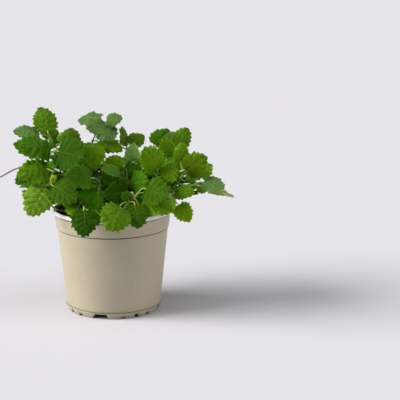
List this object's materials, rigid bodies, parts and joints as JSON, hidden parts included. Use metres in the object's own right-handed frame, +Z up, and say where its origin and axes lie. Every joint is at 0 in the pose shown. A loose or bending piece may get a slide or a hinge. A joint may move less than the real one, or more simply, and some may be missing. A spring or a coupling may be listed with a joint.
{
  "type": "potted lemon balm",
  "caption": "Lemon balm plant with toothed, quilted leaves on branching stems, rooted in dark peat in a round beige plastic grow pot with a flared lip and a notched foot.",
  "frame": {"origin": "middle of the pot's foot, on the surface that it stands on", "axes": "+Z up along the pot's axis, -Y the front, +X to the right seen from the front"},
  "size_m": [0.2612, 0.1881, 0.2155],
  "materials": {
    "pot_plastic": "satin",
    "peat": "matte",
    "leaf": "matte",
    "dry_stalk": "matte"
  },
  "bodies": {
    "root": {"pot": "pot_plastic", "soil": "peat", "stem_left_top": "leaf", "stem_left_mid": "leaf", "stem_left_low": "leaf", "stem_tall_centre": "leaf", "stem_centre_left": "leaf", "stem_front_left": "leaf", "stem_front_centre": "leaf", "stem_front_right": "leaf", "stem_centre": "leaf", "stem_right_centre": "leaf", "stem_right_mid": "leaf", "stem_right_top": "leaf", "stem_right_outer": "leaf", "stem_right_low": "leaf", "stem_right_rim": "leaf", "stem_fill_1": "leaf", "stem_fill_2": "leaf", "stem_fill_3": "leaf", "stem_fill_4": "leaf", "stem_fill_5": "leaf", "stem_fill_6": "leaf", "stem_fill_7": "leaf", "stem_fill_8": "leaf", "stem_fill_9": "leaf", "stem_fill_10": "leaf", "stem_fill_11": "leaf", "stem_fill_12": "leaf", "dry_twig": "dry_stalk"}
  },
  "joints": []
}
